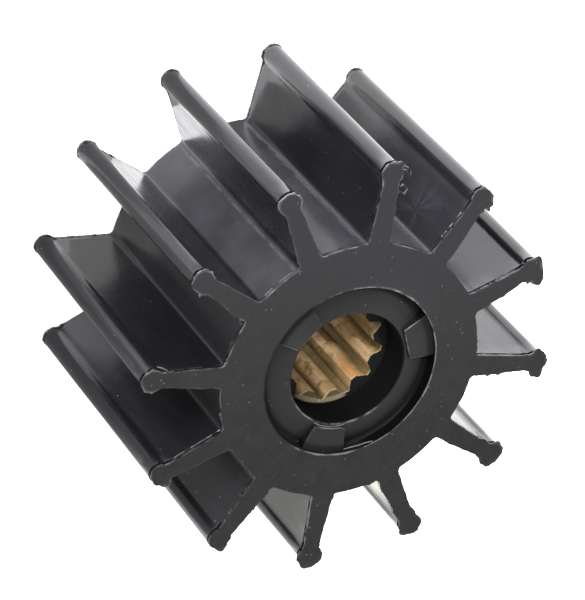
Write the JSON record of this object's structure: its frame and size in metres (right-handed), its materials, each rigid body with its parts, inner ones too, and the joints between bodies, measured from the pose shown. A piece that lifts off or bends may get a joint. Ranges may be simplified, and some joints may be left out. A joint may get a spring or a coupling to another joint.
{
  "type": "rubber pump impeller",
  "caption": "Flexible-vane pump impeller: straight rubber blades with beaded tips on a thick hub, moulded round a splined brass insert.",
  "frame": {"origin": "centre of the rear end face, where the shaft axis leaves it", "axes": "+Z along the shaft axis, from the rear end face to the front one; +X along one blade"},
  "size_m": [0.065, 0.065, 0.0413],
  "materials": {
    "rubber": "moulded nitrile or neoprene rubber, satin on the blades and ground matt on the end faces",
    "brass": "broached brass, dulled and stained"
  },
  "bodies": {
    "root": {"rubber_body": "rubber", "brass_insert": "brass"}
  },
  "joints": []
}
